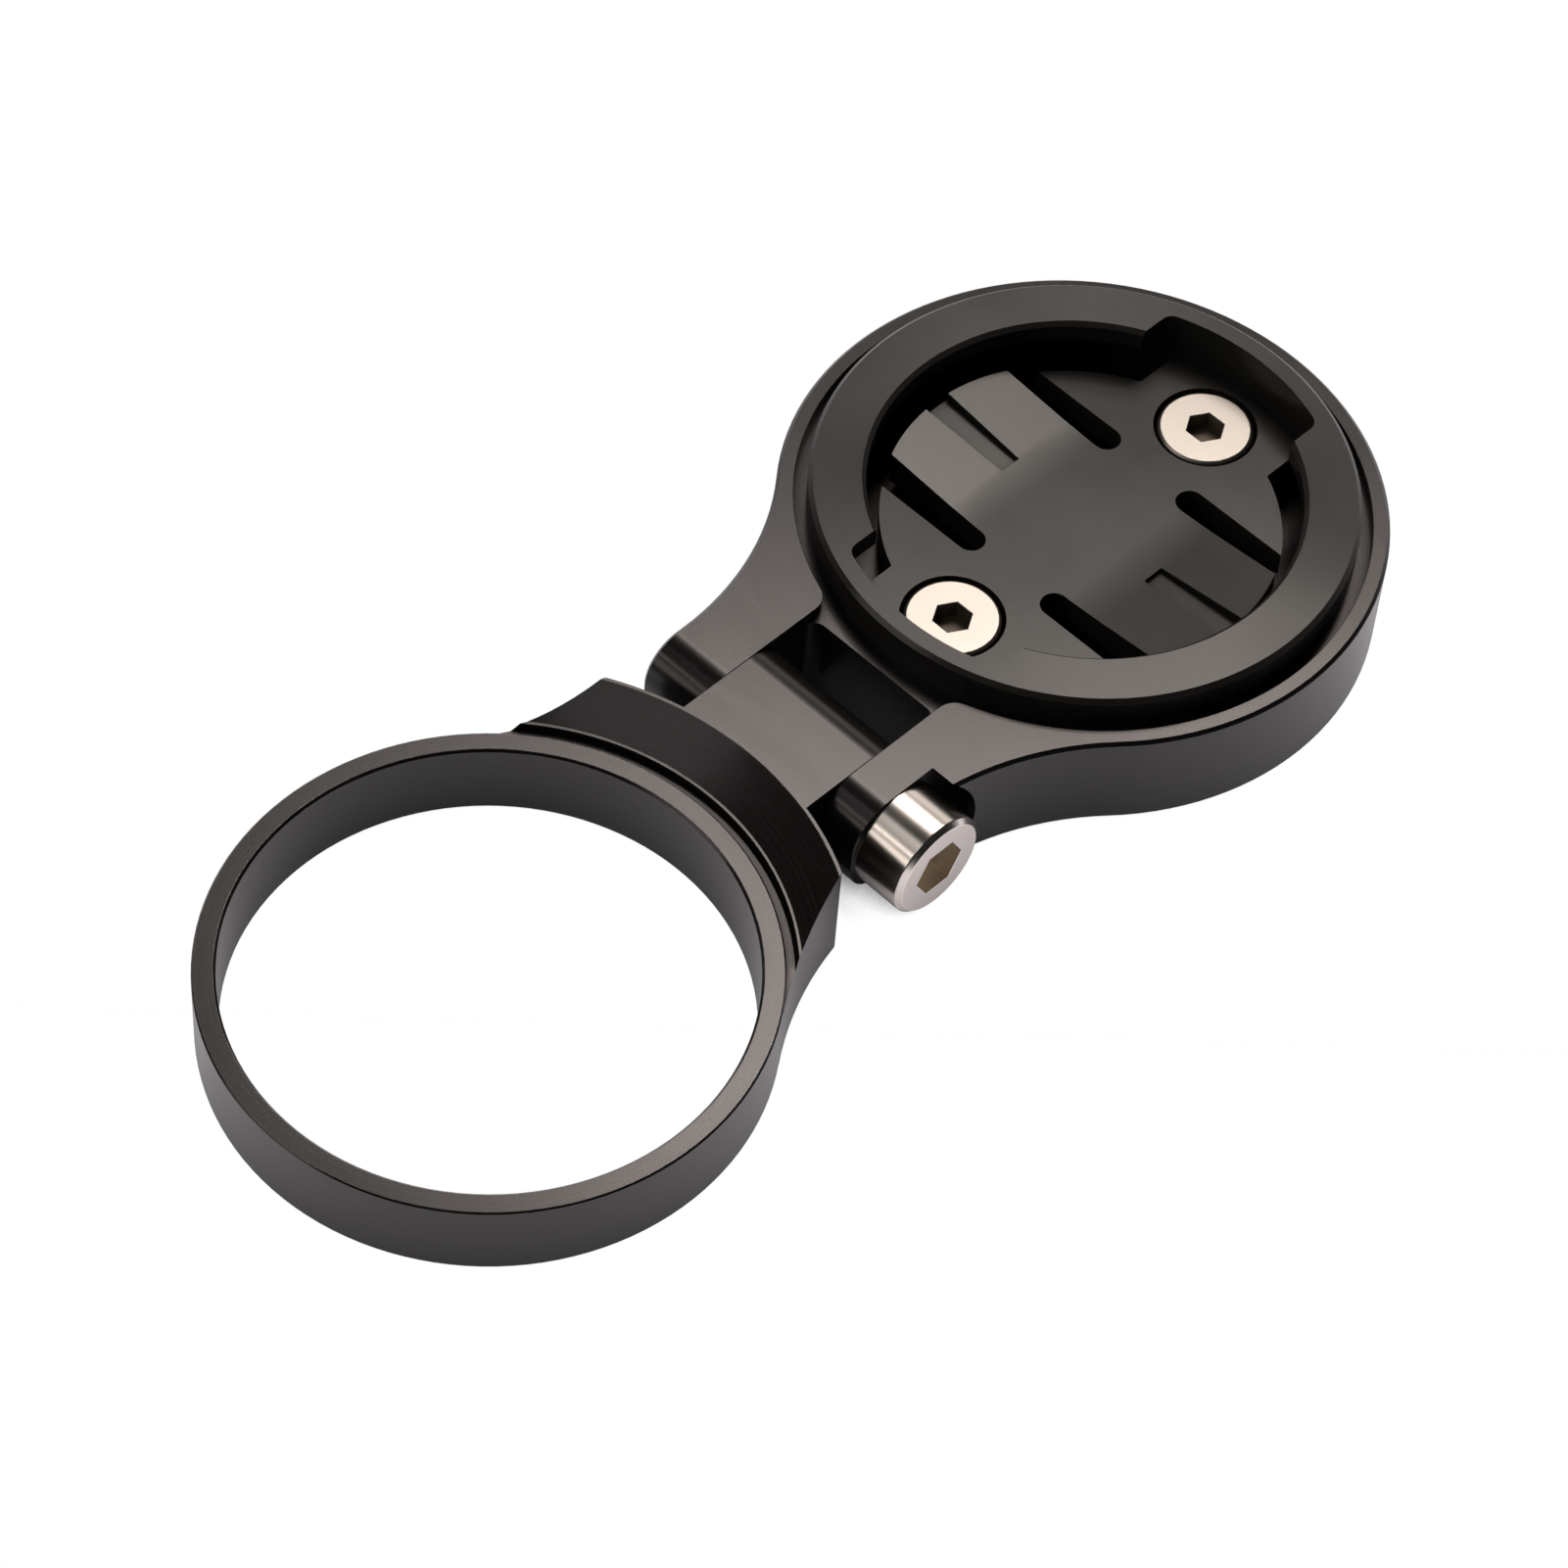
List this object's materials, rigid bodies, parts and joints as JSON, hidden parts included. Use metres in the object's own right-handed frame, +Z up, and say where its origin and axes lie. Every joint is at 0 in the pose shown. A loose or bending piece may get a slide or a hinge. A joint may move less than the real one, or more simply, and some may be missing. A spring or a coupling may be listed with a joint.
{
  "type": "bike computer mount",
  "caption": "Steerer-stack bike computer mount: a thin spacer ring with a hinged, screw-clamped arm and a round quarter-turn socket.",
  "frame": {"origin": "on the steerer axis, at the underside of the ring", "axes": "+Z up the steerer, +Y from the ring to the computer platform, +X to the head of the pivot screw"},
  "size_m": [0.0346, 0.0784, 0.008],
  "materials": {
    "black_anodised": "black anodised aluminium, fine turned and brushed lines, satin",
    "black_moulded": "black glass-filled nylon, lightly brushed flat faces",
    "bright_steel": "bright stainless steel, polished"
  },
  "bodies": {
    "ring": {"steerer_ring": "black_anodised"},
    "platform": {"platform_arm": "black_anodised", "quarter_turn_insert": "black_moulded", "insert_screws": "bright_steel"},
    "clamp_screw": {"pivot_screw": "bright_steel"}
  },
  "joints": [
    {"name": "arm_tilt", "type": "hinge", "parent": "ring", "child": "platform", "pos_m": [0, 0.023, 0.00325], "axis": [1, 0, 0], "range_deg": [-100, 100]},
    {"name": "pivot_screw_turn", "type": "hinge", "parent": "platform", "child": "clamp_screw", "pos_m": [0, 0.023, 0.00325], "axis": [1, 0, 0], "range_deg": [0, 180]}
  ]
}
